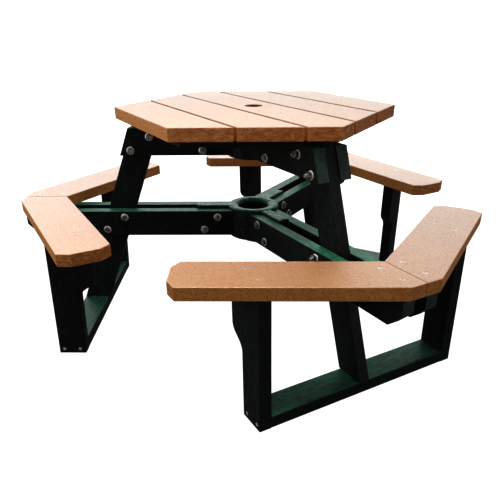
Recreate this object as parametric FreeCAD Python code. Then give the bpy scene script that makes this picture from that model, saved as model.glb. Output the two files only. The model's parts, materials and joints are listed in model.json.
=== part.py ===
import FreeCAD, Part
import os
from math import cos, pi, radians, sin, tan
from FreeCAD import Vector

# Hexagonal picnic table: plank top, three V-shaped benches and a dark board frame on two
# three-armed hubs. Units are millimetres, +Z is up and Z = 0 is the ground. The origin is on
# the ground below the middle of the table's overall length and width.

os.makedirs("parts", exist_ok=True)

# ---------------------------------------------------------------- boards
BOARD = 38.1            # thickness of every thick board
PLANK_W = 152.4         # width of the top slats and the seat planks
FRAME_W = 88.9          # width of the frame boards
EASE_PLANK = 2.5        # rounded arris of the planks
EASE_FRAME = 2.0        # rounded arris of the frame boards

# ---------------------------------------------------------------- heights
TABLE_H = 736.6
SEAT_H = 431.8
SLAT_BOTTOM = TABLE_H - BOARD
BATTEN_T = 22.0
TOP_RAIL_TOP = SLAT_BOTTOM - BATTEN_T
TOP_RAIL_BOTTOM = TOP_RAIL_TOP - FRAME_W
SEAT_RAIL_TOP = SEAT_H - BOARD
SEAT_RAIL_BOTTOM = SEAT_RAIL_TOP - FRAME_W

# ---------------------------------------------------------------- table top
SLAT_COUNT = 5
SLAT_GAP = 10.0
TOP_APOTHEM = (SLAT_COUNT * PLANK_W + (SLAT_COUNT - 1) * SLAT_GAP) / 2
SLAT_HALF_LENGTH = 500.0
SLAT_ANGLE = 300.0      # direction of the slats, the same as the front arm
UMBRELLA_R = 30.0
BATTEN_SETBACK = 44.0   # from the edge of the top to the edge of the batten ring
BATTEN_MITRE_GAP = 1.0

# ---------------------------------------------------------------- benches
SEAT_APOTHEM = 579.5    # centre of the table to the inner edge of a seat plank
SEAT_LENGTH = 548.5     # inner mitre corner to the free end
END_CUT_ALONG = 20.6    # corner cuts at the free end
END_CUT_ACROSS = 35.4
MITRE_CUT = 57.0        # outer mitre corner to the start of the nose cut
MITRE_GAP = 1.5

# ---------------------------------------------------------------- arms and legs
RAIL_INNER = BOARD / 2
RAIL_OUTER = RAIL_INNER + BOARD
SEAT_RAIL_END = 805.0
SEAT_RAIL_CLIP = 44.0   # lower corner cut off the outer end of a seat rail
BEAM_OUTER = 650.0
BEAM_INNER = BEAM_OUTER - FRAME_W
BEAM_HALF = 320.0
LEG_TOP_OUTER = 411.0
LEG_SLOPE = (BEAM_OUTER - LEG_TOP_OUTER) / (TOP_RAIL_TOP - BOARD)
LEG_W_LEVEL = 95.0      # width of the sloping leg measured level
TOP_RAIL_PROUD = 4.0    # top rail end beyond the leg's outer edge

# ---------------------------------------------------------------- posts
POST_LEAN = 14.0        # top of the post, inwards
POST_WIDE = 139.7
POST_CURVE_LOW = 199.0
POST_CURVE_HIGH = 279.0
POST_CURVE_PULL = 44.0  # the larger, the rounder both bends of the ogee

# ---------------------------------------------------------------- hubs
HUB_OUTER_R = 90.0
HUB_INNER_R = 52.0
RING_PROUD = 11.0       # ring beyond the rails, above and below
RING_OUTER_ROUND = 9.0
RING_INNER_ROUND = 18.0
TONGUE_PROUD = 9.0
TONGUE_T = 37.6
TONGUE_END = 201.0
TONGUE_ROUND = 4.0
COPE_GAP = 1.0

# ---------------------------------------------------------------- bolts
BOLT_R = 6.0
NUT_HOLE_R = 6.05
WASHER_HOLE_R = 6.5
BOARD_HOLE_R = 6.6
HEX_FLATS = 19.0
HEAD_H = 7.5
NUT_H = 10.8
WASHER_R = 13.5
WASHER_T = 2.5
BOLT_END = 7.0          # thread beyond the nut
BOLT_END_CHAMFER = 1.2
BOLT_RISE = 22.5        # bolts of a pair, above and below the pair's middle
SEAT_BOLT_LEVEL = (SEAT_RAIL_TOP + SEAT_RAIL_BOTTOM) / 2
TOP_BOLT_DROP = 5.0     # the top rails are drilled this much below their middle
TOP_BOLT_LEVEL = (TOP_RAIL_TOP + TOP_RAIL_BOTTOM) / 2 - TOP_BOLT_DROP
SEAT_HUB_BOLT_RADII = (126.0, 173.0)    # upper bolt, lower bolt
TOP_HUB_BOLT_RADII = (122.5, 169.5)
SEAT_LEG_BOLT_RADII = (455.0, 521.0)
TOP_LEG_BOLT_RADII = (344.5, 410.5)

# ---------------------------------------------------------------- screws
SCREW_R = 2.8
SCREW_HEAD_R = 5.8
SCREW_FIT = 0.05        # clearance between a screw and its hole
SCREW_TIP = 6.0
SCREW_SUNK = 0.6        # head below the board's face
DRIVE_ACROSS = 4.6      # square recess
DRIVE_DEEP = 2.4
LONG_SCREW = 75.0
SLAT_SCREW = 50.0
SEAT_SCREW_RADII = (695.0, 772.0)
POST_SCREW_RADII = (527.0, 600.0)
POST_SCREW_INSET = 4.0  # from the post's middle, towards the arm
BEAM_END_SCREW_RADII = (580.0, 633.0)
BEAM_END_SCREW_Z = 15.5
FOOT_SCREW_RADII = (578.0, 608.0)
FOOT_SCREW_STAGGER = 8.0
BATTEN_SCREW_RADIUS = 322.0
SLAT_SCREW_SPREAD = 38.0
SLAT_SCREW_ROOM = 25.0  # from a slat screw to the end of the batten
EDGE_SLAT_SCREWS = (-150.0, -50.0, 50.0, 150.0)

ARMS = {"left": 180.0, "front": 300.0, "back": 60.0}
UP = Vector(0, 0, 1)
TINY = 1e-6             # smaller than this counts as nothing
LONG_EDGE = 200.0       # only edges along a board are longer than this
WASTE = 2000.0          # side of a cutting block larger than the table


# ---------------------------------------------------------------- helpers
def level_prism(points, low, high):
    """Upright prism over a level outline of (x, y) points."""
    corners = [Vector(x, y, low) for x, y in points]
    face = Part.Face(Part.makePolygon(corners + corners[:1]))
    return face.extrude(Vector(0, 0, high - low))


def side_prism(points, near, far):
    """Prism with an outline of (x, z) points, from y = near to y = far."""
    corners = [Vector(x, near, z) for x, z in points]
    face = Part.Face(Part.makePolygon(corners + corners[:1]))
    return face.extrude(Vector(0, far - near, 0))


def ease(shape, radius, keep):
    """Round the edges whose end-to-end vector passes the test keep."""
    edges = []
    for edge in shape.Edges:
        span = edge.Vertexes[-1].Point - edge.Vertexes[0].Point
        if keep(span):
            edges.append(edge)
    return shape.makeFillet(radius, edges)


def is_level(span):
    return abs(span.z) < TINY


def is_radial(span):
    return abs(span.y) < TINY and abs(span.z) < TINY and span.Length > LONG_EDGE


def is_rising(span):
    return abs(span.y) < TINY and abs(span.z) > TINY


def turned(shape, angle):
    copy = shape.copy()
    copy.rotate(Vector(0, 0, 0), UP, angle)
    return copy


def mirrored(shape):
    return shape.mirror(Vector(0, 0, 0), Vector(0, 1, 0))


def polar(radius, angle):
    return Vector(radius * cos(radians(angle)), radius * sin(radians(angle)), 0)


def along_y(shape):
    """Turn a shape built along +Z so that it runs along +Y."""
    copy = shape.copy()
    copy.rotate(Vector(0, 0, 0), Vector(1, 0, 0), -90)
    return copy


def moved(shape, x, y, z):
    copy = shape.copy()
    copy.translate(Vector(x, y, z))
    return copy


def cut_all(shape, tools):
    return shape.cut(Part.makeCompound(tools)) if tools else shape


# ---------------------------------------------------------------- seat plank outline
def seat_point(along, across):
    """Arm coordinates of a point on the seat plank that lies on the +Y side."""
    normal = Vector(cos(pi / 6), sin(pi / 6), 0)
    run = Vector(-sin(pi / 6), cos(pi / 6), 0)
    spot = normal * (SEAT_APOTHEM + across) + run * (along - SEAT_APOTHEM * tan(pi / 6))
    return spot.x, spot.y


SEAT_NOSE = seat_point(MITRE_CUT - PLANK_W * tan(pi / 6), PLANK_W)
SEAT_OUTLINE = [
    seat_point(0, 0),
    seat_point(SEAT_LENGTH - END_CUT_ALONG, 0),
    seat_point(SEAT_LENGTH, END_CUT_ACROSS),
    seat_point(SEAT_LENGTH, PLANK_W - END_CUT_ACROSS),
    seat_point(SEAT_LENGTH - END_CUT_ALONG, PLANK_W),
    SEAT_NOSE,
    (SEAT_NOSE[0], 0.0),
]

# The table is widest from the left bench's nose to the right-hand ends of the other two.
reach_left = SEAT_NOSE[0]
reach_right = max(x * cos(pi / 3) + y * sin(pi / 3) for x, y in SEAT_OUTLINE)
AXIS_X = (reach_left - reach_right) / 2

written = {}


def export(name, shapes):
    """Move the solids of one named piece to the table's axis and write them."""
    placed = [moved(shape, AXIS_X, 0, 0) for shape in shapes]
    whole = placed[0] if len(placed) == 1 else Part.makeCompound(placed)
    whole.exportStep("parts/" + name + ".step")
    written[name] = whole


# ---------------------------------------------------------------- fasteners
def screw(length, grow=0.0):
    """Countersunk screw pointing down, its head's flat top at Z = 0."""
    head_depth = SCREW_HEAD_R - SCREW_R
    profile = [
        Vector(0, 0, 0),
        Vector(SCREW_HEAD_R + grow, 0, 0),
        Vector(SCREW_R + grow, 0, -head_depth),
        Vector(SCREW_R + grow, 0, -length + SCREW_TIP),
        Vector(0, 0, -length - grow),
    ]
    face = Part.Face(Part.makePolygon(profile + profile[:1]))
    return face.revolve(Vector(0, 0, 0), UP, 360)


def drive_screw(length):
    half = DRIVE_ACROSS / 2
    recess = Part.makeBox(DRIVE_ACROSS, DRIVE_ACROSS, DRIVE_DEEP, Vector(-half, -half, -DRIVE_DEEP))
    return screw(length).cut(recess)


def screw_hole(length):
    """Space a screw takes up in the boards, with the mouth its sunk head leaves."""
    mouth = Part.makeCylinder(SCREW_HEAD_R + SCREW_FIT, 2 * SCREW_SUNK)
    return screw(length, SCREW_FIT).fuse(mouth)


def hexagon_block(height):
    """Hexagonal head or nut standing on Z = 0, with its outer corners turned off."""
    corner = HEX_FLATS / 2 / cos(pi / 6)
    points = [polar(corner, 60 * step) for step in range(6)]
    block = level_prism([(point.x, point.y) for point in points], 0, height)
    turned_r = HEX_FLATS / 2
    drop = (corner - turned_r) * tan(pi / 6)
    profile = [
        Vector(0, 0, 0),
        Vector(corner, 0, 0),
        Vector(corner, 0, height - drop),
        Vector(turned_r, 0, height),
        Vector(0, 0, height),
    ]
    face = Part.Face(Part.makePolygon(profile + profile[:1]))
    return block.common(face.revolve(Vector(0, 0, 0), UP, 360))


SEAT_FACE = RAIL_OUTER + WASHER_T
BOLT_LENGTH = 2 * SEAT_FACE + NUT_H + BOLT_END


def bolt():
    """Hexagon bolt along +Y: head on the -Y face of a rail pair, thread beyond the +Y nut."""
    shank = Part.makeCylinder(BOLT_R, BOLT_LENGTH - BOLT_END_CHAMFER)
    tip_r = BOLT_R - BOLT_END_CHAMFER
    tip = Part.makeCone(BOLT_R, tip_r, BOLT_END_CHAMFER, Vector(0, 0, BOLT_LENGTH - BOLT_END_CHAMFER))
    head = hexagon_block(HEAD_H)
    head.rotate(Vector(0, 0, 0), Vector(1, 0, 0), 180)
    whole = shank.fuse([tip, head]).removeSplitter()
    return moved(along_y(whole), 0, -SEAT_FACE, 0)


def nut():
    bored = hexagon_block(NUT_H).cut(Part.makeCylinder(NUT_HOLE_R, NUT_H))
    return moved(along_y(bored), 0, SEAT_FACE, 0)


def washer():
    ring = Part.makeCylinder(WASHER_R, WASHER_T).cut(Part.makeCylinder(WASHER_HOLE_R, WASHER_T))
    return moved(along_y(ring), 0, RAIL_OUTER, 0)


def bolt_hole(x, z):
    hole = Part.makeCylinder(BOARD_HOLE_R, 4 * RAIL_OUTER)
    return moved(along_y(hole), x, -2 * RAIL_OUTER, z)


def bolt_pair(level, radii):
    """The (x, z) places of an upper and a lower bolt about one level."""
    upper_x, lower_x = radii
    return [(upper_x, level + BOLT_RISE), (lower_x, level - BOLT_RISE)]


SEAT_HUB_BOLTS = bolt_pair(SEAT_BOLT_LEVEL, SEAT_HUB_BOLT_RADII)
TOP_HUB_BOLTS = bolt_pair(TOP_BOLT_LEVEL, TOP_HUB_BOLT_RADII)
SEAT_LEG_BOLTS = bolt_pair(SEAT_BOLT_LEVEL, SEAT_LEG_BOLT_RADII)
TOP_LEG_BOLTS = bolt_pair(TOP_BOLT_LEVEL, TOP_LEG_BOLT_RADII)


# ---------------------------------------------------------------- screw places
def down_screws(spots, face_z, length):
    """Screws driven down through a face at face_z, and the holes they sit in."""
    screws = [moved(drive_screw(length), x, y, face_z - SCREW_SUNK) for x, y in spots]
    holes = [moved(screw_hole(length), x, y, face_z - SCREW_SUNK) for x, y in spots]
    return screws, holes


def up_screws(spots, face_z, length):
    """Screws driven up through a face at face_z, and the holes they sit in."""
    screws = []
    holes = []
    for x, y in spots:
        for shape, group in ((drive_screw(length), screws), (screw_hole(length), holes)):
            shape.rotate(Vector(0, 0, 0), Vector(1, 0, 0), 180)
            group.append(moved(shape, x, y, face_z + SCREW_SUNK))
    return screws, holes


rail_middle = (RAIL_INNER + RAIL_OUTER) / 2
post_screw_y = BEAM_HALF + BOARD / 2 - POST_SCREW_INSET

# One side of one arm; the other side is its mirror image.
seat_spots = [(radius, rail_middle) for radius in SEAT_SCREW_RADII]
seat_spots += [(radius, post_screw_y) for radius in POST_SCREW_RADII]
seat_screws, seat_holes = down_screws(seat_spots, SEAT_H, LONG_SCREW)

batten_spots = [(BATTEN_SCREW_RADIUS, rail_middle)]
batten_screws, batten_holes = down_screws(batten_spots, SLAT_BOTTOM, LONG_SCREW)

foot_spots = [
    (FOOT_SCREW_RADII[0], -FOOT_SCREW_STAGGER),
    (FOOT_SCREW_RADII[1], FOOT_SCREW_STAGGER),
]
foot_screws, foot_holes = up_screws(foot_spots, 0.0, LONG_SCREW)

beam_screws = []
beam_holes = []
for radius in BEAM_END_SCREW_RADII:
    for shape, group in ((drive_screw(LONG_SCREW), beam_screws), (screw_hole(LONG_SCREW), beam_holes)):
        end_face = BEAM_HALF + BOARD - SCREW_SUNK
        group.append(moved(along_y(shape), radius, end_face, BEAM_END_SCREW_Z))


# ---------------------------------------------------------------- frame boards of one arm
def rail(outline, cope_r, holes):
    """Rail on the +Y side of an arm, its inner end shaped to the hub."""
    board = ease(side_prism(outline, RAIL_INNER, RAIL_OUTER), EASE_FRAME, is_radial)
    low = min(z for x, z in outline)
    cope = Part.makeCylinder(cope_r, 2 * FRAME_W, Vector(0, 0, low - FRAME_W / 2))
    solids = board.cut(cope).Solids
    far_solid = max(solids, key=lambda solid: solid.CenterOfMass.x)
    return cut_all(far_solid, holes)


def leg_edge(z):
    """Level distance of the leg's outer edge from the table's axis at height z."""
    return BEAM_OUTER - LEG_SLOPE * (z - BOARD)


seat_rail_outline = [
    (HUB_INNER_R, SEAT_RAIL_BOTTOM),
    (SEAT_RAIL_END - SEAT_RAIL_CLIP, SEAT_RAIL_BOTTOM),
    (SEAT_RAIL_END, SEAT_RAIL_BOTTOM + SEAT_RAIL_CLIP),
    (SEAT_RAIL_END, SEAT_RAIL_TOP),
    (HUB_INNER_R, SEAT_RAIL_TOP),
]
top_rail_outline = [
    (HUB_INNER_R, TOP_RAIL_BOTTOM),
    (leg_edge(TOP_RAIL_BOTTOM) + TOP_RAIL_PROUD, TOP_RAIL_BOTTOM),
    (leg_edge(TOP_RAIL_TOP) + TOP_RAIL_PROUD, TOP_RAIL_TOP),
    (HUB_INNER_R, TOP_RAIL_TOP),
]
seat_bolt_holes = [bolt_hole(x, z) for x, z in SEAT_HUB_BOLTS + SEAT_LEG_BOLTS]
top_bolt_holes = [bolt_hole(x, z) for x, z in TOP_HUB_BOLTS + TOP_LEG_BOLTS]
cope_radius = HUB_OUTER_R + COPE_GAP

seat_rail = rail(seat_rail_outline, cope_radius, seat_bolt_holes + seat_holes)
top_rail = rail(top_rail_outline, cope_radius, top_bolt_holes + batten_holes)

leg_outline = [
    (BEAM_OUTER - LEG_W_LEVEL, BOARD),
    (BEAM_OUTER, BOARD),
    (leg_edge(TOP_RAIL_TOP), TOP_RAIL_TOP),
    (leg_edge(TOP_RAIL_TOP) - LEG_W_LEVEL, TOP_RAIL_TOP),
]
leg_blank = side_prism(leg_outline, -RAIL_INNER, RAIL_INNER)
leg_blank = ease(leg_blank, EASE_FRAME, lambda span: abs(span.z) > LONG_EDGE)
leg = cut_all(leg_blank, seat_bolt_holes + top_bolt_holes + foot_holes)

beam_blank = Part.makeBox(FRAME_W, 2 * BEAM_HALF, BOARD, Vector(BEAM_INNER, -BEAM_HALF, 0))
beam_blank = ease(beam_blank, EASE_FRAME, lambda span: abs(span.y) > LONG_EDGE)
beam_cuts = beam_holes + [mirrored(hole) for hole in beam_holes] + foot_holes
beam = cut_all(beam_blank, beam_cuts)


def post_edge(level):
    """Outer edge of the leaning post at a height."""
    return BEAM_OUTER - POST_LEAN * level / SEAT_RAIL_TOP


def post_face(near):
    """Post outline: narrow at the ground, an ogee on the inner edge, wide under the seat."""
    foot_inner = Vector(BEAM_INNER, near, 0)
    foot_outer = Vector(BEAM_OUTER, near, 0)
    top_outer = Vector(post_edge(SEAT_RAIL_TOP), near, SEAT_RAIL_TOP)
    top_inner = Vector(post_edge(SEAT_RAIL_TOP) - POST_WIDE, near, SEAT_RAIL_TOP)
    curve_top = Vector(post_edge(POST_CURVE_HIGH) - POST_WIDE, near, POST_CURVE_HIGH)
    curve_low = Vector(post_edge(POST_CURVE_LOW) - FRAME_W, near, POST_CURVE_LOW)
    ogee = Part.BezierCurve()
    pull = Vector(0, 0, POST_CURVE_PULL)
    ogee.setPoles([curve_top, curve_top - pull, curve_low + pull, curve_low])
    straight = [
        Part.makeLine(foot_inner, foot_outer),
        Part.makeLine(foot_outer, top_outer),
        Part.makeLine(top_outer, top_inner),
        Part.makeLine(top_inner, curve_top),
    ]
    wire = Part.Wire(straight + [ogee.toShape(), Part.makeLine(curve_low, foot_inner)])
    return Part.Face(wire)


post_blank = post_face(BEAM_HALF).extrude(Vector(0, BOARD, 0))
post_blank = ease(post_blank, EASE_FRAME, is_rising)
post = cut_all(post_blank, seat_holes + beam_holes)

plank_blank = ease(level_prism(SEAT_OUTLINE, SEAT_RAIL_TOP, SEAT_H), EASE_PLANK, is_level)
mitre_waste = Part.makeBox(WASTE, WASTE, WASTE, Vector(-WASTE / 2, MITRE_GAP / 2 - WASTE, 0))
plank = cut_all(plank_blank.cut(mitre_waste), seat_holes)

for side, angle in ARMS.items():
    for number, hand in ((1, lambda shape: shape), (2, mirrored)):
        export("seat_rail_%s_%d" % (side, number), [turned(hand(seat_rail), angle)])
        export("top_rail_%s_%d" % (side, number), [turned(hand(top_rail), angle)])
        export("seat_post_%s_%d" % (side, number), [turned(hand(post), angle)])
        export("seat_plank_%s_%d" % (side, number), [turned(hand(plank), angle)])
    export("leg_" + side, [turned(leg, angle)])
    export("base_beam_" + side, [turned(beam, angle)])


# ---------------------------------------------------------------- hubs
def rims(shape, radius):
    """The circular edges of this radius."""
    found = []
    for edge in shape.Edges:
        if isinstance(edge.Curve, Part.Circle) and abs(edge.Curve.Radius - radius) < TINY:
            found.append(edge)
    return found


def hub(bottom, top, bolts):
    """Thick rounded ring with three tongues that slip between the rail pairs."""
    height = top - bottom + 2 * RING_PROUD
    centre = Vector(0, 0, bottom - RING_PROUD)
    ring = Part.makeCylinder(HUB_OUTER_R, height, centre)
    ring = ring.cut(Part.makeCylinder(HUB_INNER_R, height, centre))
    ring = ring.makeFillet(RING_OUTER_ROUND, rims(ring, HUB_OUTER_R))
    ring = ring.makeFillet(RING_INNER_ROUND, rims(ring, HUB_INNER_R))
    root = (HUB_INNER_R + HUB_OUTER_R) / 2
    corner = Vector(root, -TONGUE_T / 2, bottom - TONGUE_PROUD)
    tongue = Part.makeBox(TONGUE_END - root, TONGUE_T, top - bottom + 2 * TONGUE_PROUD, corner)
    tongue = ease(tongue, TONGUE_ROUND, is_level)
    whole = ring.fuse([turned(tongue, angle) for angle in ARMS.values()]).removeSplitter()
    holes = [turned(bolt_hole(x, z), angle) for x, z in bolts for angle in ARMS.values()]
    return cut_all(whole, holes)


export("hub_lower", [hub(SEAT_RAIL_BOTTOM, SEAT_RAIL_TOP, SEAT_HUB_BOLTS)])
export("hub_upper", [hub(TOP_RAIL_BOTTOM, TOP_RAIL_TOP, TOP_HUB_BOLTS)])

# ---------------------------------------------------------------- top slats and battens
hexagon_corner = TOP_APOTHEM / cos(pi / 6)
hexagon_points = [polar(hexagon_corner, 60 * step) for step in range(6)]
hexagon = level_prism([(point.x, point.y) for point in hexagon_points], SLAT_BOTTOM, TABLE_H)

batten_apothem = TOP_APOTHEM - BATTEN_SETBACK
batten_inner = batten_apothem - FRAME_W
batten_middle = batten_apothem - FRAME_W / 2


def slat_offset(index):
    return (index - (SLAT_COUNT - 1) / 2) * (PLANK_W + SLAT_GAP)


def slat_screw_spots():
    """Points where a screw comes up through a batten into a slat."""
    spots = []
    across = SLAT_ANGLE + 90
    for step in range(6):
        facing = 30 + 60 * step
        tilt = radians(facing - across)
        along = polar(1, facing + 90)
        centre = polar(batten_middle, facing)
        if abs(sin(tilt)) < TINY:
            spots += [centre + along * shift for shift in EDGE_SLAT_SCREWS]
            continue
        for index in range(SLAT_COUNT):
            for shift in (-SLAT_SCREW_SPREAD, SLAT_SCREW_SPREAD):
                wanted = slat_offset(index) + shift
                reach = (wanted - batten_middle * cos(tilt)) / -sin(tilt)
                if abs(reach) < batten_middle * tan(pi / 6) - SLAT_SCREW_ROOM:
                    spots.append(centre + along * reach)
    return [(spot.x, spot.y) for spot in spots]


slat_screws, slat_holes = up_screws(slat_screw_spots(), TOP_RAIL_TOP, SLAT_SCREW)
hole_block = Part.makeCompound(slat_holes)

for index in range(SLAT_COUNT):
    middle = slat_offset(index)
    corner = Vector(-SLAT_HALF_LENGTH, middle - PLANK_W / 2, SLAT_BOTTOM)
    blank = Part.makeBox(2 * SLAT_HALF_LENGTH, PLANK_W, BOARD, corner)
    slat = turned(blank, SLAT_ANGLE).common(hexagon).removeSplitter()
    slat = ease(slat, EASE_PLANK, is_level).cut(hole_block)
    if index == SLAT_COUNT // 2:
        slat = slat.cut(Part.makeCylinder(UMBRELLA_R, BOARD, Vector(0, 0, SLAT_BOTTOM)))
    export("top_slat_%d" % (index + 1), [slat])

all_batten_holes = []
for angle in ARMS.values():
    for hole in batten_holes:
        all_batten_holes += [turned(hole, angle), turned(mirrored(hole), angle)]
batten_cuts = Part.makeCompound(slat_holes + all_batten_holes)

inset = BATTEN_MITRE_GAP / 2 / cos(pi / 6)
for step in range(6):
    outer_half = batten_apothem * tan(pi / 6) - inset
    inner_half = batten_inner * tan(pi / 6) - inset
    outline = [
        (batten_apothem, -outer_half),
        (batten_apothem, outer_half),
        (batten_inner, inner_half),
        (batten_inner, -inner_half),
    ]
    batten = turned(level_prism(outline, TOP_RAIL_TOP, SLAT_BOTTOM), 30 + 60 * step)
    export("top_batten_%d" % (step + 1), [batten.cut(batten_cuts)])


# ---------------------------------------------------------------- fastener groups
def on_arms(shapes, mirror_too):
    group = []
    for angle in ARMS.values():
        for shape in shapes:
            group.append(turned(shape, angle))
            if mirror_too:
                group.append(turned(mirrored(shape), angle))
    return group


hub_spots = SEAT_HUB_BOLTS + TOP_HUB_BOLTS
leg_spots = SEAT_LEG_BOLTS + TOP_LEG_BOLTS
hub_bolts = [moved(bolt(), x, 0, z) for x, z in hub_spots]
leg_bolts = [mirrored(moved(bolt(), x, 0, z)) for x, z in leg_spots]
nuts = [moved(nut(), x, 0, z) for x, z in hub_spots]
nuts += [mirrored(moved(nut(), x, 0, z)) for x, z in leg_spots]
washers = [moved(washer(), x, 0, z) for x, z in hub_spots + leg_spots]

export("hub_bolts", on_arms(hub_bolts, False))
export("leg_bolts", on_arms(leg_bolts, False))
export("nuts", on_arms(nuts, False))
export("washers", on_arms(washers, True))
export("seat_screws", on_arms(seat_screws, True))
export("beam_end_screws", on_arms(beam_screws, True))
export("foot_screws", on_arms(foot_screws, False))
export("batten_screws", on_arms(batten_screws, True))
export("slat_screws", slat_screws)

everything = Part.makeCompound(list(written.values()))
bounds = everything.BoundBox
print("nodes", len(written), "solids", len(everything.Solids))
print("axis x %.3f" % AXIS_X)
print("size %.1f x %.1f x %.1f" % (bounds.XLength, bounds.YLength, bounds.ZLength))
print("centre %.3f, %.3f, bottom %.3f" % (bounds.Center.x, bounds.Center.y, bounds.ZMin))
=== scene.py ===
import json
import math
import random

import bmesh
import bpy
import numpy as np
from mathutils import Matrix, Vector


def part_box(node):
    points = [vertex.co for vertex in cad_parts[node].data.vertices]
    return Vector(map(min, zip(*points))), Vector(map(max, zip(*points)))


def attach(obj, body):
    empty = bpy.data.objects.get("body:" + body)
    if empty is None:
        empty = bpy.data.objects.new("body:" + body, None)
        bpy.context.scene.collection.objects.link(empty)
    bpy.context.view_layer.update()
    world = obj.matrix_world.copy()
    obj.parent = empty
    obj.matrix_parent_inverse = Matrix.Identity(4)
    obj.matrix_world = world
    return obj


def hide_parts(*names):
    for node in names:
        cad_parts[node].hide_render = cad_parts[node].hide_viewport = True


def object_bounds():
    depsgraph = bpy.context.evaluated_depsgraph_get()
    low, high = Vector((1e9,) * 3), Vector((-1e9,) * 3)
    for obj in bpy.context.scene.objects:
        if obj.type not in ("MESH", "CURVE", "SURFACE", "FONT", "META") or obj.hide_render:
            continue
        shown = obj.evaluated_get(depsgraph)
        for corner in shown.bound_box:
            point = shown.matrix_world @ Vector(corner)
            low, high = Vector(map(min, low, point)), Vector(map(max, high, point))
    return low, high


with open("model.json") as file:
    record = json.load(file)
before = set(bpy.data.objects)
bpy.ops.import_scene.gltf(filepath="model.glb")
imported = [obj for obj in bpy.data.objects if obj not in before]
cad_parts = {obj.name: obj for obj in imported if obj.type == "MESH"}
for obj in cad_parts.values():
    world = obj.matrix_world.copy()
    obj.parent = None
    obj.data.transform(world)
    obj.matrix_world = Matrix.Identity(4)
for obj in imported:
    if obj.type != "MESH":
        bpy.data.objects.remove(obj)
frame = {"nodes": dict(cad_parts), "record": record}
CAD_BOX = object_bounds()

# Everything is in metres, in the frame of the CAD model.

# Camera: where a person stands to see the table, and how the lens looks from there.
EYE = Vector((0.0313, -1.8417, 0.9860))
PITCH_DOWN = math.radians(27.34)
YAW = math.radians(-1.58)
ROLL = math.radians(0.68)
LENS_MM = 38.2
SENSOR_MM = 36.0
SHIFT = (0.026, 0.090)

# Stage
FLOOR_R = 7.0
COVE_R = 2.5
WALL_TOP = 7.0
COVE_STEPS = 12
ROUND_STEPS = 96
FLOOR_MIDDLE_R = 0.02      # the flat disc that the rings of the floor start from
FLOOR_DROP = 0.0005        # from the feet of the table down to the floor
STAGE_PAINT = 0.30
STAGE_GLOW = 0.70          # near the table; it rises to 1 between the next two distances
GLOW_FROM = 1.2
GLOW_TO = 4.0

# Colours, linear
CEDAR = (0.60, 0.270, 0.088, 1)
CEDAR_PALE = (0.76, 0.43, 0.175, 1)
CEDAR_DEEP = (0.31, 0.100, 0.036, 1)
# Pale cream painted on the cedar's upward arrises as a highlight
PAINTED_EDGE_HIGHLIGHT = (0.95, 0.78, 0.60, 1)
SAWN_GREY = (0.50, 0.34, 0.22, 1)
PIT = (0.06, 0.025, 0.012, 1)
GREEN = (0.020, 0.0235, 0.022, 1)
GREEN_PALE = (0.035, 0.047, 0.042, 1)
GREEN_DEEP = (0.013, 0.016, 0.014, 1)
# Pale green for up-facing green faces: partly sun-bleached dust, partly a painted sheen of the lit tops
GREEN_BLOOM_AND_SHEEN = (0.070, 0.265, 0.165, 1)
GREEN_SAWN = (0.060, 0.092, 0.078, 1)
ZINC = (0.97, 0.96, 0.94, 1)
ZINC_DULL = (0.78, 0.76, 0.73, 1)
STEEL = (0.80, 0.79, 0.77, 1)
STEEL_DARK = (0.22, 0.215, 0.21, 1)

# Pale tops on the green boards, partly sun-bleached dust and partly a painted sheen of the lit tops, held
# back near the ground as painted shade: the share that the lowest have, and the heights between which it
# grows
LOW_SHADED_SHARE = 0.6
GROUND_SHADE_FROM_Z = 0.05
GROUND_SHADE_TO_Z = 0.38

# Rounded arrises: on the green boards, the hub and the zinc they show wear; on the cedar the upward ones
# carry a painted highlight
CEDAR_ARRIS = 0.0035
GREEN_ARRIS = 0.003
HUB_ARRIS = 0.004
ZINC_ARRIS = 0.0008

UP = (0, 0, 1)

# Fasteners. An outline is a row of (radius, height) points that is spun round the fastener's axis.
WELD_DISTANCE = 1e-5       # corners closer than this are one corner of a solid
AXIS_R = 0.0004            # an outline that ends near the axis stops this far from it
WASHER_FACES = 40
WASHER_BORE = 0.0065
WASHER_R = 0.0135
WASHER_T = 0.0025
WASHER_OUTLINE = (
    (WASHER_BORE, 0.0), (WASHER_BORE, 0.0019), (0.0071, WASHER_T), (0.0102, 0.0024), (0.0122, 0.0019),
    (0.0132, 0.0012), (WASHER_R, 0.0005), (WASHER_R, 0.0),
)
SHANK_R = 0.006
HEX_FACES = 6
HEX_CORNER = 0.0095 / math.cos(math.pi / 6)
HEAD_H = 0.0075
DISH_R = 0.0062
DISH_DEPTH = 0.0012
HEAD_OUTLINE = (
    (AXIS_R, DISH_DEPTH), (0.0052, 0.0009), (DISH_R, 0.0), (HEX_CORNER * 0.86, 0.0),
    (HEX_CORNER, HEX_CORNER * 0.10), (HEX_CORNER, HEAD_H), (SHANK_R, HEAD_H),
)
BOLT_FACES = 24
THREAD_PITCH = 0.00175
THREAD_DEPTH = 0.0009
THREAD_LENGTH = 0.024
TIP_HOLLOW = 0.0004

SEED = 11
random.seed(SEED)


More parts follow.
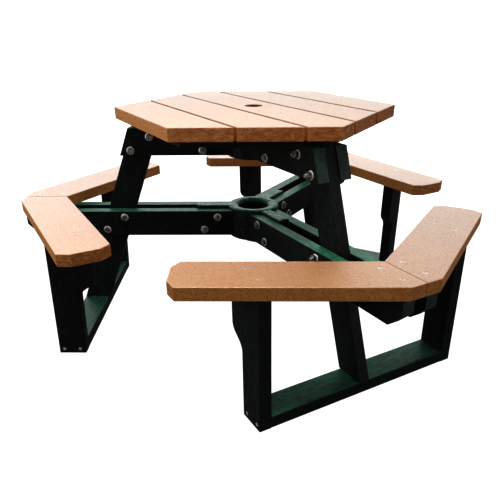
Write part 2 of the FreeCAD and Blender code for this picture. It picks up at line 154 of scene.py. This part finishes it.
class Graph:
    """A material's nodes, one short call for each."""

    def __init__(self, name):
        self.material = bpy.data.materials.new(name)
        self.material.use_nodes = True
        self.tree = self.material.node_tree
        self.shader = self.tree.nodes["Principled BSDF"]

    def node(self, kind, **settings):
        made = self.tree.nodes.new(kind)
        for key, value in settings.items():
            setattr(made, key, value)
        return made

    def feed(self, socket, value):
        """Links an output to an input, or sets a constant on it."""
        if isinstance(value, bpy.types.NodeSocket):
            self.tree.links.new(value, socket)
        else:
            socket.default_value = value

    def value(self, operation, first, second=0.0):
        made = self.node("ShaderNodeMath", operation=operation)
        self.feed(made.inputs[0], first)
        self.feed(made.inputs[1], second)
        return made.outputs[0]

    def vector(self, operation, first, second, result="Vector"):
        made = self.node("ShaderNodeVectorMath", operation=operation)
        self.feed(made.inputs[0], first)
        self.feed(made.inputs[3 if operation == "SCALE" else 1], second)
        return made.outputs[result]

    def noise(self, place, per_metre, detail=2.0, roughness=0.5, distortion=0.0):
        made = self.node("ShaderNodeTexNoise")
        self.feed(made.inputs["Vector"], place)
        self.feed(made.inputs["Scale"], per_metre)
        self.feed(made.inputs["Detail"], detail)
        self.feed(made.inputs["Roughness"], roughness)
        self.feed(made.inputs["Distortion"], distortion)
        return made.outputs["Fac"]

    def cells(self, place, per_metre):
        """A random value for each flake."""
        made = self.node("ShaderNodeTexVoronoi")
        self.feed(made.inputs["Vector"], place)
        self.feed(made.inputs["Scale"], per_metre)
        split = self.node("ShaderNodeSeparateColor")
        self.feed(split.inputs[0], made.outputs["Color"])
        return split.outputs[0]

    def spread(self, value, low, high, new_low=0.0, new_high=1.0):
        """Stretches low..high to new_low..new_high and holds it there."""
        made = self.node("ShaderNodeMapRange")
        for socket, number in zip(made.inputs, (value, low, high, new_low, new_high)):
            self.feed(socket, number)
        return made.outputs[0]

    def mix(self, share, first, second, blend="MIX"):
        made = self.node("ShaderNodeMix", data_type="RGBA", blend_type=blend)
        self.feed(made.inputs["Factor"], share)
        self.feed(made.inputs[6], first)
        self.feed(made.inputs[7], second)
        return made.outputs[2]

    def bump(self, height, depth, under=None):
        made = self.node("ShaderNodeBump")
        made.inputs["Strength"].default_value = 1.0
        made.inputs["Distance"].default_value = depth
        self.feed(made.inputs["Height"], height)
        if under is not None:
            self.feed(made.inputs["Normal"], under)
        return made.outputs["Normal"]

    def own(self, name):
        """A vector that each board carries as a property of its object."""
        made = self.node("ShaderNodeAttribute", attribute_type="OBJECT", attribute_name=name)
        return made.outputs["Vector"]

    def shade(self):
        """Each board's own small difference in brightness, -1 to 1."""
        made = self.node("ShaderNodeAttribute", attribute_type="OBJECT", attribute_name="shade")
        return made.outputs["Fac"]

    def place(self):
        """Where a point is, in metres."""
        return self.node("ShaderNodeTexCoord").outputs["Object"]

    def facing(self, direction):
        """1 where the surface looks along a direction, 0 where it is square to it, -1 where it looks back."""
        normal = self.node("ShaderNodeNewGeometry").outputs["Normal"]
        return self.vector("DOT_PRODUCT", normal, direction, "Value")

    def board_place(self, stretch):
        """Places drawn out along the board's own length, and different on each board."""
        place = self.vector("ADD", self.place(), self.own("offset"))
        grain = self.own("grain")
        run = self.vector("DOT_PRODUCT", place, grain, "Value")
        spare = self.value("MULTIPLY", run, 1 - 1 / stretch)
        return self.vector("SUBTRACT", place, self.vector("SCALE", grain, spare))

    def end_mask(self):
        """1 on the sawn ends of a board, 0 on its long faces."""
        return self.spread(self.value("ABSOLUTE", self.facing(self.own("grain"))), 0.35, 0.6)

    def edge_mask(self, radius):
        """1 where the surface turns within this radius, 0 on the flats."""
        rounded = self.node("ShaderNodeBevel", samples=4)
        rounded.inputs["Radius"].default_value = radius
        return self.spread(self.facing(rounded.outputs["Normal"]), 0.995, 0.80)

    def up_mask(self):
        """1 on faces that look at the sky, 0 on the rest."""
        return self.spread(self.facing(UP), 0.4, 0.8)

    def sky_mask(self):
        """1 where the surface turns even a little upwards."""
        return self.spread(self.facing(UP), 0.05, 0.35)

    def finish(self, colour, roughness, normal, **constants):
        """Feeds the shader and returns the material; a constant's name has _ for each space."""
        self.feed(self.shader.inputs["Base Color"], colour)
        self.feed(self.shader.inputs["Roughness"], roughness)
        self.feed(self.shader.inputs["Normal"], normal)
        for name, value in constants.items():
            self.shader.inputs[name.replace("_", " ")].default_value = value
        return self.material


def cedar_material():
    """Cedar-coloured plastic lumber: fine flakes, a faint grain along the board, mottled sawn ends, and a
    painted highlight along its upward arrises.
    """
    g = Graph("cedar_board")
    even = g.board_place(1.0)
    drawn = g.board_place(9.0)
    streaks = g.noise(drawn, 90.0, 4.0, 0.6, 0.3)
    cloud = g.noise(even, 7.0, 3.0, 0.55)
    flakes = g.cells(g.board_place(1.8), 520.0)
    fine = g.noise(even, 650.0, 2.0, 0.6)
    end = g.end_mask()
    mottle = g.noise(even, 170.0, 3.0, 0.6, 0.5)
    tone = g.value("ADD", g.spread(streaks, 0.3, 0.7, -0.05, 0.05), g.spread(cloud, 0.3, 0.7, -0.05, 0.05))
    tone = g.value("ADD", tone, g.spread(mottle, 0.3, 0.7, -0.16, 0.16))
    tone = g.value("ADD", tone, g.value("MULTIPLY", g.shade(), 0.06))
    colour = g.mix(g.spread(tone, 0.0, 0.6), CEDAR, CEDAR_PALE)
    colour = g.mix(g.spread(tone, 0.0, -0.6), colour, CEDAR_DEEP)
    colour = g.mix(g.spread(flakes, 0.80, 0.95, 0.0, 0.60), colour, CEDAR_PALE)
    colour = g.mix(g.spread(flakes, 0.20, 0.05, 0.0, 0.65), colour, CEDAR_DEEP)
    colour = g.mix(g.spread(fine, 0.62, 0.75, 0.0, 0.35), colour, CEDAR_DEEP)
    sweep = g.noise(g.vector("MULTIPLY", even, (1.0, 1.0, 2.6)), 24.0, 6.0, 0.7, 2.2)
    sawn = g.mix(g.spread(sweep, 0.44, 0.62), CEDAR_DEEP, CEDAR)
    sawn = g.mix(g.spread(sweep, 0.58, 0.68, 0.0, 0.7), sawn, SAWN_GREY)
    colour = g.mix(g.value("MULTIPLY", end, 0.75), colour, sawn)
    pits = g.noise(even, 210.0, 1.0, 0.5)
    colour = g.mix(g.value("MULTIPLY", end, g.spread(pits, 0.68, 0.76, 0.0, 0.8)), colour, PIT)
    # Painted highlight: a pale cream line along the upward arrises, where a rounded edge would catch the
    # light
    edge_highlight = g.value("MULTIPLY", g.edge_mask(CEDAR_ARRIS), g.spread(mottle, 0.25, 0.6, 0.6, 1.0))
    colour = g.mix(g.value("MULTIPLY", edge_highlight, g.sky_mask()), colour, PAINTED_EDGE_HIGHLIGHT)
    rough = g.spread(fine, 0.3, 0.7, 0.44, 0.60)
    rough = g.value("ADD", rough, g.value("MULTIPLY", end, 0.12))
    relief = g.bump(mottle, 0.0003)
    relief = g.bump(fine, 0.00025, relief)
    relief = g.bump(g.value("MULTIPLY", sweep, end), 0.0015, relief)
    g.feed(g.shader.inputs["Specular IOR Level"], g.spread(g.up_mask(), 0.0, 1.0, 0.12, 0.9))
    return g.finish(colour, rough, relief, IOR=2.0)


def green_board_material():
    """Dark green plastic lumber: short mottled blotches, pale worn arrises, small scuffs, and pale tops that
    are partly dust and partly a painted sheen, with painted shade low down.
    """
    g = Graph("green_board")
    even = g.board_place(1.0)
    blotches = g.noise(g.board_place(2.6), 95.0, 3.0, 0.6, 0.5)
    broad = g.noise(g.board_place(4.0), 16.0, 3.0, 0.6, 0.4)
    streaks = g.noise(g.board_place(14.0), 160.0, 3.0, 0.6, 0.2)
    fine = g.noise(even, 520.0, 3.0, 0.65)
    end = g.end_mask()
    colour = g.mix(g.spread(blotches, 0.48, 0.70, 0.0, 0.6), GREEN, GREEN_PALE)
    colour = g.mix(g.spread(broad, 0.48, 0.68, 0.0, 0.25), colour, GREEN_PALE)
    colour = g.mix(g.spread(blotches, 0.46, 0.30, 0.0, 0.8), colour, GREEN_DEEP)
    colour = g.mix(g.spread(streaks, 0.46, 0.30, 0.0, 0.3), colour, GREEN_DEEP)
    colour = g.mix(g.spread(fine, 0.62, 0.74, 0.0, 0.4), colour, GREEN_PALE)
    # Pale tops: partly dust, partly a painted sheen of the light on the up-facing faces
    bloom_and_sheen = g.value("MULTIPLY", g.up_mask(), g.spread(blotches, 0.30, 0.62, 0.4, 1.0))
    # Painted shade: the pale tops are held back low down, nearer the ground
    high = g.node("ShaderNodeSeparateXYZ")
    g.feed(high.inputs[0], g.place())
    ground_shade = g.spread(high.outputs["Z"], GROUND_SHADE_FROM_Z, GROUND_SHADE_TO_Z, LOW_SHADED_SHARE, 1.0)
    bloom_and_sheen = g.value("MULTIPLY", bloom_and_sheen, ground_shade)
    colour = g.mix(bloom_and_sheen, colour, GREEN_BLOOM_AND_SHEEN)
    colour = g.mix(g.value("MULTIPLY", end, g.spread(blotches, 0.35, 0.6, 0.6, 0.95)), colour, GREEN_SAWN)
    edge = g.edge_mask(GREEN_ARRIS)
    worn = g.value("MULTIPLY", edge, g.spread(blotches, 0.35, 0.6, 0.25, 0.8))
    colour = g.mix(worn, colour, GREEN_PALE)
    rough = g.spread(fine, 0.3, 0.7, 0.45, 0.64)
    relief = g.bump(blotches, 0.0009)
    relief = g.bump(streaks, 0.0003, relief)
    relief = g.bump(fine, 0.0003, relief)
    relief = g.bump(g.value("MULTIPLY", broad, end), 0.001, relief)
    return g.finish(colour, rough, relief, Specular_IOR_Level=0.15)


def green_hub_material():
    """The same compound moulded: lumpy and mottled, with pale scuffs."""
    g = Graph("green_hub")
    place = g.place()
    lumps = g.noise(place, 120.0, 4.0, 0.6, 0.4)
    blotch = g.noise(place, 38.0, 3.0, 0.6, 0.6)
    fine = g.noise(place, 700.0, 2.0, 0.6)
    colour = g.mix(g.spread(lumps, 0.42, 0.62), GREEN, GREEN_PALE)
    colour = g.mix(g.spread(blotch, 0.50, 0.32, 0.0, 0.8), colour, GREEN_DEEP)
    # Pale tops as on the boards: partly dust, partly a painted sheen of the light on the up-facing faces
    bloom_and_sheen = g.value("MULTIPLY", g.up_mask(), g.spread(lumps, 0.38, 0.56, 0.30, 1.0))
    colour = g.mix(bloom_and_sheen, colour, GREEN_BLOOM_AND_SHEEN)
    edge = g.edge_mask(HUB_ARRIS)
    colour = g.mix(g.value("MULTIPLY", edge, g.spread(lumps, 0.4, 0.6, 0.2, 0.8)), colour, GREEN_BLOOM_AND_SHEEN)
    rough = g.spread(lumps, 0.3, 0.7, 0.40, 0.62)
    relief = g.bump(blotch, 0.007)
    relief = g.bump(lumps, 0.003, relief)
    relief = g.bump(fine, 0.0003, relief)
    return g.finish(colour, rough, relief, Specular_IOR_Level=0.15)


def zinc_material(name, bright, dull, rough_bright, rough_dull, metallic):
    """Zinc plate with dulled patches, pale arrises and fine scratches."""
    g = Graph(name)
    place = g.place()
    patch = g.noise(place, 260.0, 3.0, 0.6, 0.5)
    scratch = g.noise(g.vector("MULTIPLY", place, (1.0, 1.0, 9.0)), 900.0, 2.0, 0.6)
    colour = g.mix(g.spread(patch, 0.40, 0.62), dull, bright)
    edge = g.edge_mask(ZINC_ARRIS)
    colour = g.mix(g.value("MULTIPLY", edge, 0.7), colour, ZINC)
    rough = g.spread(patch, 0.3, 0.7, rough_dull, rough_bright)
    relief = g.bump(scratch, 0.00006)
    relief = g.bump(patch, 0.0002, relief)
    return g.finish(colour, rough, relief, Metallic=metallic)


def grain_of(piece):
    """The direction of the longest outline edge of a board."""
    mesh = bmesh.new()
    mesh.from_mesh(piece.data)
    outline = [edge for edge in mesh.edges if edge.is_boundary]
    longest = max(outline or mesh.edges, key=lambda edge: edge.calc_length())
    start, end = (corner.co for corner in longest.verts)
    grain = (end - start).normalized()
    mesh.free()
    return grain


def dress(slots):
    """Gives each CAD node its finish, grain direction, offset and shade, and returns the steel finish."""
    finishes = {
        "cedar_board": cedar_material(),
        "green_board": green_board_material(),
        "green_hub": green_hub_material(),
        "zinc_steel": zinc_material("zinc_steel", STEEL, STEEL_DARK, 0.22, 0.42, 1.0),
    }
    screw_finish = zinc_material("zinc_screw", ZINC, ZINC_DULL, 0.30, 0.46, 0.5)
    for name, piece in sorted(frame["nodes"].items()):
        piece["grain"] = list(grain_of(piece))
        piece["offset"] = [random.uniform(0, 5) for _ in range(3)]
        piece["shade"] = random.uniform(-1, 1)
        finish = screw_finish if name.endswith("screws") else finishes[slots[name]]
        for slot in piece.material_slots:
            slot.material = finish
    return finishes["zinc_steel"]


def slots_by_node(record):
    """Each node's material slot, as the record gives it."""
    return {part["node"]: part["material_slot"] for part in record["subparts"]}


def islands(piece):
    """The corner points of each separate solid of a node, in one array per solid."""
    mesh = bmesh.new()
    mesh.from_mesh(piece.data)
    bmesh.ops.remove_doubles(mesh, verts=mesh.verts, dist=WELD_DISTANCE)
    seen = set()
    found = []
    for first in mesh.verts:
        if first in seen:
            continue
        seen.add(first)
        reached = [first]
        for corner in reached:
            for edge in corner.link_edges:
                other = edge.other_vert(corner)
                if other not in seen:
                    seen.add(other)
                    reached.append(other)
        found.append(np.array([corner.co for corner in reached]))
    mesh.free()
    return found


def strip(mesh, low, high, smooth):
    """Adds the faces between two rings that have as many corners."""
    for step in range(len(low)):
        after = (step + 1) % len(low)
        mesh.faces.new((low[step], low[after], high[after], high[step])).smooth = smooth


def spin(mesh, outline, steps, move, smooth):
    """Adds the surface that an outline sweeps round Z, moved by a matrix, and returns its rings."""
    rings = []
    for radius, height in outline:
        ring = []
        for step in range(steps):
            angle = 2 * math.pi * step / steps
            spot = Vector((radius * math.cos(angle), radius * math.sin(angle), height))
            ring.append(mesh.verts.new(move @ spot))
        rings.append(ring)
    for low, high in zip(rings, rings[1:]):
        strip(mesh, low, high, smooth)
    return rings


def frame_on(centre, axis):
    """Matrix that takes Z to axis and the origin to centre."""
    return Matrix.Translation(centre) @ axis.to_track_quat("Z", "X").to_matrix().to_4x4()


def new_piece(name, mesh, material, node):
    """Makes an object of the mesh that stands for a CAD node."""
    bmesh.ops.recalc_face_normals(mesh, faces=mesh.faces)
    data = bpy.data.meshes.new(name)
    mesh.to_mesh(data)
    mesh.free()
    data.materials.append(material)
    piece = bpy.data.objects.new(name, data)
    bpy.context.scene.collection.objects.link(piece)
    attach(piece, "root")
    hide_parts(node)


def domed_washers(table_axis):
    """Each flat washer again with a rounded rim, domed side away from the arm and the table's axis."""
    mesh = bmesh.new()
    for points in islands(frame["nodes"]["washers"]):
        middle = (points.max(axis=0) + points.min(axis=0)) / 2
        axis = Vector(np.linalg.svd(points - middle)[2][2])
        axis.z = 0
        axis.normalize()
        if axis.dot(Vector(middle) - table_axis) < 0:
            axis.negate()
        flat_side = frame_on(Vector(middle) - axis * WASHER_T / 2, axis)
        rings = spin(mesh, WASHER_OUTLINE, WASHER_FACES, flat_side, True)
        strip(mesh, rings[-1], rings[0], False)
    material = zinc_material("zinc_washer", ZINC, ZINC_DULL, 0.22, 0.36, 0.15)
    new_piece("domed_washers", mesh, material, "washers")


def shank_outline(length):
    """A shank that ends in ridges one pitch apart and a small chamfer."""
    outline = [(SHANK_R, 0.0), (SHANK_R, length - THREAD_LENGTH)]
    ridges = int(THREAD_LENGTH / THREAD_PITCH) - 1
    for ridge in range(ridges):
        start = length - THREAD_LENGTH + ridge * THREAD_PITCH
        outline.append((SHANK_R - THREAD_DEPTH, start + THREAD_PITCH / 2))
        outline.append((SHANK_R, start + THREAD_PITCH))
    outline.append((SHANK_R - THREAD_DEPTH, length))
    outline.append((SHANK_R / 2, length))
    outline.append((AXIS_R, length - TIP_HOLLOW))
    return outline


def threaded_bolts(node, material):
    """Each bolt of a node again, with its thread cut and a shallow dish turned in its head."""
    mesh = bmesh.new()
    for points in islands(frame["nodes"][node]):
        middle = (points.max(axis=0) + points.min(axis=0)) / 2
        axis = Vector(np.linalg.svd(points - points.mean(axis=0))[2][0])
        axis.z = 0
        axis.normalize()
        along = (points - middle) @ np.array(axis)
        away = np.linalg.norm(points - middle - np.outer(along, axis), axis=1)
        if along[away.argmax()] > 0:
            axis.negate()
            along = -along
        head = Vector(middle) + axis * along.min()
        length = along.max() - along.min() - HEAD_H
        at_head = frame_on(head, axis)
        at_shank = Matrix.Translation(axis * HEAD_H) @ at_head
        shank = spin(mesh, shank_outline(length), BOLT_FACES, at_shank, False)
        hexagon = spin(mesh, HEAD_OUTLINE, HEX_FACES, at_head, False)
        for end in (shank[0], shank[-1], hexagon[0], hexagon[-1]):
            mesh.faces.new(end)
    new_piece("threaded_" + node, mesh, material, node)


def stage_material():
    """A pale surface that keeps even in the distance and still takes soft shadows."""
    g = Graph("studio_floor")
    place = g.place()
    grain = g.noise(place, 3.0, 2.0, 0.5)
    paint = (STAGE_PAINT, STAGE_PAINT, STAGE_PAINT, 1)
    cooler = (STAGE_PAINT * 0.97, STAGE_PAINT * 0.97, STAGE_PAINT, 1)
    colour = g.mix(grain, paint, cooler)
    g.feed(g.shader.inputs["Base Color"], colour)
    g.shader.inputs["Roughness"].default_value = 0.9
    g.shader.inputs["Specular IOR Level"].default_value = 0.0
    g.shader.inputs["Emission Color"].default_value = (1, 1, 1, 1)
    away = g.vector("LENGTH", place, (0, 0, 0), "Value")
    glow = g.spread(away, GLOW_FROM, GLOW_TO, STAGE_GLOW, 1.0)
    g.feed(g.shader.inputs["Emission Strength"], glow)
    g.material.cycles.emission_sampling = "NONE"
    return g.material


def build_stage(centre):
    """A round floor that curves up into a wall."""
    outline = [(FLOOR_MIDDLE_R, 0.0), (FLOOR_R, 0.0)]
    for step in range(1, COVE_STEPS + 1):
        turn = math.pi / 2 * step / COVE_STEPS
        outline.append((FLOOR_R + COVE_R * math.sin(turn), COVE_R * (1 - math.cos(turn))))
    outline.append((FLOOR_R + COVE_R, WALL_TOP))
    mesh = bmesh.new()
    rings = spin(mesh, outline, ROUND_STEPS, Matrix.Translation((centre.x, centre.y, 0)), True)
    mesh.faces.new(rings[0])
    data = bpy.data.meshes.new("studio_floor")
    mesh.to_mesh(data)
    mesh.free()
    floor = bpy.data.objects.new("studio_floor", data)
    bpy.context.scene.collection.objects.link(floor)
    data.materials.append(stage_material())
    floor.visible_diffuse = False
    floor.visible_glossy = False
    floor.location.z = CAD_BOX[0][2] - FLOOR_DROP


def softbox(name, place, target, width, height, watts, colour=(1, 1, 1), beam=180):
    """A rectangular lamp at place, aimed at target, its light held within a beam of so many degrees."""
    lamp = bpy.data.lights.new(name, "AREA")
    lamp.shape = "RECTANGLE"
    lamp.size = width
    lamp.size_y = height
    lamp.energy = watts
    lamp.color = colour
    lamp.spread = math.radians(beam)
    piece = bpy.data.objects.new(name, lamp)
    bpy.context.scene.collection.objects.link(piece)
    piece.location = place
    piece.rotation_euler = (Vector(target) - Vector(place)).to_track_quat("-Z", "Y").to_euler()
    piece.visible_camera = False


def light_the_room(centre):
    """Broad low lamps behind for the sheen on the tops, weaker ones on the sides, in front and overhead."""
    top = Vector((centre.x, centre.y, 0.6))
    softbox("overhead", top + Vector((-0.3, -0.6, 3.0)), top, 3.0, 3.0, 2)
    seat = Vector((centre.x - 0.25, centre.y - 0.8, 0.43))
    softbox("over_front_seats", seat + Vector((0, -0.1, 2.2)), seat, 1.2, 0.6, 3.9, beam=60)
    softbox("behind", top + Vector((-0.3, 4.8, 1.1)), top, 7.0, 2.4, 204)
    softbox("behind_left", top + Vector((-3.6, 3.2, 1.2)), top, 2.6, 2.2, 44)
    softbox("behind_right", top + Vector((3.4, 3.2, 1.2)), top, 2.2, 2.0, 38)
    softbox("left", top + Vector((-3.6, -1.4, 0.5)), top, 2.2, 2.0, 38)
    softbox("right", top + Vector((3.6, -2.2, 0.6)), top, 2.0, 2.0, 26)
    softbox("front", top + Vector((-1.2, -4.2, 0.9)), top, 3.0, 2.0, 3, colour=(1.0, 0.84, 0.72))
    world = bpy.data.worlds.new("room")
    bpy.context.scene.world = world
    world.use_nodes = True
    background = world.node_tree.nodes["Background"]
    background.inputs["Color"].default_value = (1.0, 1.0, 1.0, 1)
    background.inputs["Strength"].default_value = 0.08


def place_camera():
    """The one camera, turned by its heading first, then its tilt, then its lean."""
    lens = bpy.data.cameras.new("camera")
    lens.sensor_width = SENSOR_MM
    lens.lens = LENS_MM
    lens.shift_x, lens.shift_y = SHIFT
    lens.dof.use_dof = False
    camera = bpy.data.objects.new("camera", lens)
    bpy.context.scene.collection.objects.link(camera)
    heading = Matrix.Rotation(-YAW, 4, "Z")
    tilt = Matrix.Rotation(math.pi / 2 - PITCH_DOWN, 4, "X")
    lean = Matrix.Rotation(-ROLL, 4, "Z")
    camera.matrix_world = Matrix.Translation(EYE) @ heading @ tilt @ lean
    bpy.context.scene.camera = camera


middle = (CAD_BOX[0] + CAD_BOX[1]) / 2
bpy.context.scene.view_settings.view_transform = "Standard"
bpy.context.scene.view_settings.look = "High Contrast"
steel = dress(slots_by_node(frame["record"]))
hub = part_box("hub_lower")
domed_washers((hub[0] + hub[1]) / 2)
threaded_bolts("hub_bolts", steel)
threaded_bolts("leg_bolts", steel)
build_stage(middle)
light_the_room(middle)
place_camera()
